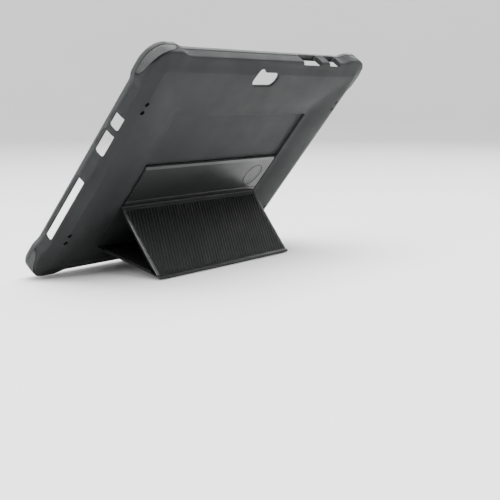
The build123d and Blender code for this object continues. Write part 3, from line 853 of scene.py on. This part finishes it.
def inlays():
    """Grey bands between the pads: straight along the long sides, hollowed inwards along the short ones."""
    parts = []
    half = BAND_W / 2
    reach = PAD_X - LONG_BAND_GAP
    for u in PAD_U:
        parts.append(band([((x, u - half), (x, u + half)) for x in (-reach, 0.0, reach)]))
    for side in (-1, 1):
        strip = []
        for i in range(BAND_STEPS + 1):
            t = -1 + 2 * i / BAND_STEPS
            u = inside_mid + t * ((PAD_U[1] - PAD_U[0]) / 2 - SIDE_BAND_GAP)
            inner = PAD_X - half - SIDE_HOLLOW * t * t
            strip.append(((side * (PAD_X + half), u), (side * inner, u)))
        parts.append(band(strip))
        for side_u in (-1, 1):
            middle = Vector((side * PAD_X, PAD_U[0] if side_u < 0 else PAD_U[1]))
            out = Vector((side, side_u)).normalized()
            across = Vector((-out.y, out.x))
            strip = []
            for i in range(BAND_STEPS + 1):
                t = i / BAND_STEPS
                place = middle + out * (BAND_START + (BAND_REACH - BAND_START) * t)
                width = half * (1.25 - 0.35 * smooth(t))
                strip.append((place - across * width, place + across * width))
            parts.append(band(strip))
    bands = joined("curved_inlays", parts, band_grey)
    finish_piece(shade(bands), "shell", "band", "inlay_bands")


def felt_lining():
    """Felt on the tray's floor, with its cut edge turned down a little."""
    rings = []
    for grow, depth in FELT_RINGS:
        out = LINING_OUT + grow
        loop = rounded_loop(
            -RECESS_X - out, RECESS_X + out, RECESS_LOW - out, RECESS_HIGH + out,
            (RECESS_R_LOW + grow,) * 4,
        )
        rings.append([spot(x, u, depth) for x, u in loop])
    lining = ring_solid("felt_lining", rings, felt_black)
    finish_piece(shade(lining, 60), "shell", "lining", "floor_lining")


def magnet_plate():
    """The square plate for a magnetic holder, with softened edges."""
    rings = []
    for grow, depth in PLATE_RINGS:
        size = PLATE_W / 2 + grow
        loop = rounded_loop(-size, size, inside_mid - size, inside_mid + size, (3.0,) * 4)
        rings.append([spot(x, u, depth) for x, u in loop])
    plate = ring_solid("magnet_plate", rings, plate_grey)
    finish_piece(shade(plate), "shell", "plate", "holder_plate")


# ---- stand

SKIN_T, RIBBED_T = 0.7, 0.9  # thickness of the plain skins and of the ribbed one
SKIN_GAP, FOLD_GAP = 1.5, 1.1  # gaps between a skin and the foot, and between a skin and the other folds
FOOT_R, PIPING_R = 1.2, 1.2
RIB_PITCH, RIB_SLANT, RIB_W, RIB_H = 3.25, radians(22), 1.9, 0.42
BORDER, MIN_RIB = 3.2, 2.5  # smooth border beside the ribs, and the shortest rib that is made
BASE_RINGS = (  # inset, mitre towards the foot, and height of the base panel's skin
    (0.1, 0.45, -SKIN_T), (0.0, 0.35, -SKIN_T + 0.1), (0.0, 0.0, -0.2), (0.06, 0.0, -0.06), (0.2, 0.0, 0.0),
)
FOOT_ENDS = ((0.02, 0.55), (-0.2, 0.35), (-0.7, 0.15), (-1.5, 0.04), (-2.6, 0.0))  # past the side, shrink
FOOT_SLOPE = ((2.0, -0.05), (1.9, 0.2), (1.45, 0.52), (0.8, 0.93))  # distance from the foot, and height
MARK_X, MARK_U, MARK_R = 61.5, 80.5, 9.6  # centre and radius of the ring on the tab
BEAD_HALF, BEAD_RISE = 0.35, 0.1
on_prop = on_panel(fold["foot_fold"], fold["tab_fold"])
on_tab = on_panel(fold["tab_fold"], fold["tab_fold"] + up_dir)
on_base = on_panel(fold["stand_fold"], fold["foot_fold"])
prop_len = (fold["tab_fold"] - fold["foot_fold"]).length / MM
base_len = (fold["foot_fold"] - fold["stand_fold"]).length / MM
tab_len = TAB_TOP - FOLD_C_U
TAB_HALF = PANEL_HALF - 1.6
FOOT_MITRE = 1.22  # the ribbed skin's end leans back by this share of its depth, to clear the base's skin


def prism(name, place, section, half, material):
    """A solid with one section (along, out) over its whole width."""
    rings = [[place(x, along, out) for along, out in section] for x in (-half, half)]
    return ring_solid(name, rings, material)


def rib_rings(x_middle, low, high):
    """A slanted half-round rib, cut short where it would run past the panel's smooth border."""
    middle = (low + high) / 2
    border = PANEL_HALF - BORDER
    ends = [low, high]
    slope = tan(RIB_SLANT)

    def x_at(along):
        return x_middle + (along - middle) * slope

    for end, limit in enumerate((-border, border)):
        if x_at(low) < limit < x_at(high):
            ends[end] = middle + (limit - x_middle) / slope
    if x_at(ends[0]) < -border - 0.01 or x_at(ends[1]) > border + 0.01 or ends[1] - ends[0] < MIN_RIB:
        return None
    rings = []
    for along, size in (
        (ends[0], 0.15), (ends[0] + 0.5, 0.8), (ends[0] + 1.1, 1.0),
        (ends[1] - 1.1, 1.0), (ends[1] - 0.5, 0.8), (ends[1], 0.15),
    ):
        x = x_at(along)
        ring = [on_prop(x - RIB_W / 2, along, -RIB_H - 0.25)]
        for i in range(7):
            angle = pi * i / 6
            out = -RIB_H - 0.02 + (RIB_H + 0.02) * size * sin(angle)
            ring.append(on_prop(x - RIB_W / 2 * cos(angle), along, out))
        ring.append(on_prop(x + RIB_W / 2, along, -RIB_H - 0.25))
        rings.append(ring)
    return rings


def ribbed_panel():
    """Outer skin of the prop panel: slanted ribs between two plain edges."""
    low, high = SKIN_GAP, prop_len - FOLD_GAP
    section = (
        (low, -RIB_H), (high - 1.3, -RIB_H), (high - 1.0, -0.05), (high, -0.05),
        (high, -RIBBED_T), (low + FOOT_MITRE * RIBBED_T, -RIBBED_T),
    )
    panel = prism("ribbed_panel", on_prop, section, PANEL_HALF - 0.3, rib_black)
    rib_low, rib_high = low + 0.5, high - 1.8
    reach = (rib_high - rib_low) / 2 * tan(RIB_SLANT)
    count = int((PANEL_HALF + reach) / RIB_PITCH)
    parts = []
    for step in range(-count, count + 1):
        rings = rib_rings(step * RIB_PITCH, rib_low, rib_high)
        if rings:
            parts.append(rings)
    ribs = joined("ribs", parts, rib_black)
    combine(panel, ribs, "UNION")
    finish_piece(shade(panel, 40), "prop_panel", "ribbed", "ribbed_cover")

    piping = []
    for side in (-1, 1):
        rings = []
        for along, size in (
            (low, 0.75), (low + 0.4, 0.95), (low + 1.0, 1.0),
            (high - 1.0, 1.0), (high - 0.4, 0.95), (high, 0.75),
        ):
            ring = []
            for i in range(13):
                angle = pi * i / 12
                x = side * (PANEL_HALF - PIPING_R) + PIPING_R * size * cos(angle)
                out = -RIBBED_T + (RIBBED_T + 0.02) * size * sin(angle) ** 0.7
                mitre = FOOT_MITRE * max(-out, 0.0) if along < low + 1.5 else 0.0
                ring.append(on_prop(x, along + mitre, out))
            rings.append(ring)
        piping.append(rings)
    edges = joined("panel_piping", piping, piping_black)
    finish_piece(shade(edges, 60), "prop_panel", "stand_cover")


def base_panel():
    """Outer skin of the base panel, which faces the surface the case stands on."""
    low, high = FOLD_GAP, base_len - SKIN_GAP
    rings = []
    for inset, mitre, out in BASE_RINGS:
        loop = rounded_loop(
            -PANEL_HALF + inset, PANEL_HALF - inset, low + inset, high - inset - mitre,
            (RECESS_R_LOW - inset, RECESS_R_LOW - inset, 0.5, 0.5),
        )
        rings.append([on_base(x, along, out) for x, along in loop])
    panel = ring_solid("base_face", rings, cover_black)
    finish_piece(shade(panel), "base_panel", "stand_cover", "base_cover")


def tab_panel():
    """Cover of the magnet tab: spine, fold groove, smooth face and a bevelled top edge."""
    section = (
        (FOLD_GAP, 0.0), (4.1, 0.0), (4.35, -0.4), (4.75, -0.4), (5.0, 0.0), (tab_len - 2.8, 0.0),
        (tab_len - 0.35, -0.95), (tab_len + 0.02, -1.35), (tab_len + 0.02, -2.1), (tab_len - 0.6, -2.1),
        (tab_len - 0.9, -SKIN_T), (FOLD_GAP, -SKIN_T),
    )
    tab = prism("tab_face", on_tab, section, TAB_HALF, cover_black)
    bevelled(tab, 0.22)
    finish_piece(tab, "magnet_tab", "stand_cover", "tab_cover")

    edge_section = (
        (tab_len - 3.0, -0.3), (tab_len - 2.85, 0.03), (tab_len - 0.36, -0.9), (tab_len + 0.02, -1.3),
        (tab_len + 0.02, -1.7), (tab_len - 0.6, -1.7),
    )
    edge = prism("tab_edge", on_tab, edge_section, TAB_HALF - 0.3, edge_black)
    bevelled(edge, 0.12)
    finish_piece(edge, "magnet_tab", "stand_cover")


def foot_skin():
    """Skin that runs from the base panel's face round the foot to the prop panel's face."""
    hub = fold["foot_fold"]
    base_normal = (on_base(0, 0, 1) - on_base(0, 0, 0)).normalized()
    prop_normal = (on_prop(0, 0, 1) - on_prop(0, 0, 0)).normalized()
    sweep = base_normal.angle(prop_normal)
    section = [on_base(0, base_len - reach, rise) for reach, rise in FOOT_SLOPE]
    steps = 14
    for i in range(steps + 1):
        share = i / steps
        direction = (base_normal * sin(sweep * (1 - share)) + prop_normal * sin(sweep * share)) / sin(sweep)
        section.append(hub + direction * FOOT_R * MM)
    section += [on_prop(0, reach, rise) for reach, rise in reversed(FOOT_SLOPE)]
    inner = hub - (base_normal + prop_normal) * 0.4 * MM
    section += [on_prop(0, 2.0, -SKIN_T), inner, on_base(0, base_len - 2.0, -SKIN_T)]
    stations = [(-PANEL_HALF - x, shrink) for x, shrink in FOOT_ENDS]
    stations += [(PANEL_HALF + x, shrink) for x, shrink in reversed(FOOT_ENDS)]
    rings = [[p + (hub - p) * shrink + x_dir * x * MM for p in section] for x, shrink in stations]
    skin = ring_solid("foot_skin", rings, fold_black)
    shade(skin, 50)
    start, end = hub + base_normal * FOOT_R * MM, hub + prop_normal * FOOT_R * MM
    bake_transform(skin)
    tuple(start)
    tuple(end)
    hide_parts("foot_fold")


def mark_ring():
    """Low round bead on the tab that shows where the magnet lies."""
    steps, around = 64, 6
    rings = []
    for i in range(steps):
        angle = 2 * pi * i / steps
        ring = []
        for k in range(around + 1):
            turn = pi * k / around
            r = MARK_R - BEAD_HALF * cos(turn)
            ring.append(spot(MARK_X + r * cos(angle), MARK_U + r * sin(angle), BEAD_RISE * sin(turn)))
        for r in (MARK_R + BEAD_HALF, MARK_R - BEAD_HALF):
            ring.append(spot(MARK_X + r * cos(angle), MARK_U + r * sin(angle), -0.12))
        rings.append(ring)
    ring = ring_solid("mark_ring", rings, rib_black, closed=True)
    finish_piece(shade(ring, 50), "magnet_tab", "stand_cover", "magnet_mark")


# ---- studio and camera

BOWL = (  # radius and height of the studio's pale bowl, in metres
    (0.05, 0.0), (1.2, 0.0), (2.2, 0.0), (2.55, 0.06), (2.8, 0.22), (2.95, 0.5), (3.0, 0.9), (3.0, 3.0),
)
BOWL_STEPS = 96
FLOOR_GAP = 0.0005  # the floor lies this far under the object


def studio():
    """A pale round bowl with a large soft light above it and a softer one on each side."""
    paper, nodes, links, shader = shader_tree("pale_floor", (0.86, 0.86, 0.86), 0.9)
    tint(nodes, links, shader, noise(nodes, links, 3.0), (0.86, 0.86, 0.86), 0.85 / 0.86, 0.87 / 0.86)
    verts = []
    for radius, height in BOWL:
        for i in range(BOWL_STEPS):
            angle = 2 * pi * i / BOWL_STEPS
            verts.append(Vector((radius * cos(angle), radius * sin(angle), height - FLOOR_GAP)))
    faces = [face for face in ring_faces(len(BOWL), BOWL_STEPS, False) if len(face) == 4]
    faces.append(tuple(range(BOWL_STEPS)))
    bowl = make_piece("studio_bowl", verts, faces, paper)
    shade(bowl, 60)

    world = bpy.data.worlds.new("studio_world")
    bpy.context.scene.world = world
    world.use_nodes = True
    background = world.node_tree.nodes["Background"]
    background.inputs["Color"].default_value = (1, 1, 1, 1)
    background.inputs["Strength"].default_value = 0.45

    def area(name, place, aim, size, power):
        """A soft rectangular light."""
        light = bpy.data.lights.new(name, "AREA")
        light.shape = "RECTANGLE"
        light.size, light.size_y = size
        light.energy = power
        holder = bpy.data.objects.new(name, light)
        holder.location = place
        holder.rotation_mode = "QUATERNION"
        holder.rotation_quaternion = (Vector(aim) - Vector(place)).to_track_quat("-Z", "Y")
        bpy.context.scene.collection.objects.link(holder)

    area("overhead", (0.0, -0.1, 1.6), (0, 0, 0), (1.8, 1.8), 90)
    area("left_strip", (-1.5, 0.1, 0.8), (0, 0, 0.08), (0.5, 1.2), 20)
    area("right_key", (1.5, 0.1, 1.15), (0, 0, 0.1), (0.9, 0.9), 11)


def camera():
    """The camera stands behind the case, a little above its middle, level, with a long lens."""
    data = bpy.data.cameras.new("camera")
    data.lens = 76.23
    data.sensor_width = 36.0
    data.clip_start, data.clip_end = 0.01, 20.0
    holder = bpy.data.objects.new("camera", data)
    azimuth, elevation = radians(-55.43), radians(8.29)
    back = Vector((sin(azimuth) * cos(elevation), -cos(azimuth) * cos(elevation), sin(elevation)))
    aim = Vector((0.0696, 0.0094, 0.0))
    holder.location = aim + back * 0.8467
    holder.rotation_mode = "QUATERNION"
    holder.rotation_quaternion = (-back).to_track_quat("-Z", "Y")
    bpy.context.scene.collection.objects.link(holder)
    bpy.context.scene.camera = holder


NODE_MATERIALS = {
    "floor_lining": felt_black, "inlay_bands": band_grey, "holder_plate": plate_grey, "keeper_discs": steel,
    "shell_fold": fold_black, "base_cover": cover_black, "base_board": board_black, "foot_fold": fold_black,
    "ribbed_cover": rib_black, "prop_board": board_black, "tab_fold": fold_black, "tab_cover": cover_black,
    "tab_board": board_black, "tab_magnets": steel, "magnet_mark": cover_black, "back_shell": shell_black,
    "front_rim": rim_black,
}


def dress_nodes():
    """Gives every CAD node its own material; the ones not listed above are pads and bumpers."""
    for name, node in frame["nodes"].items():
        material = NODE_MATERIALS.get(name, gel_blue if name.startswith("impact_pad") else guard_black)
        node.data.materials.clear()
        node.data.materials.append(material)


studio()
camera()
dress_nodes()
moulded_back()
front_rim()
corner_guards()
rim_ribs()
support_fins()
gel_pads()
inlays()
felt_lining()
magnet_plate()
ribbed_panel()
base_panel()
tab_panel()
mark_ring()
foot_skin()
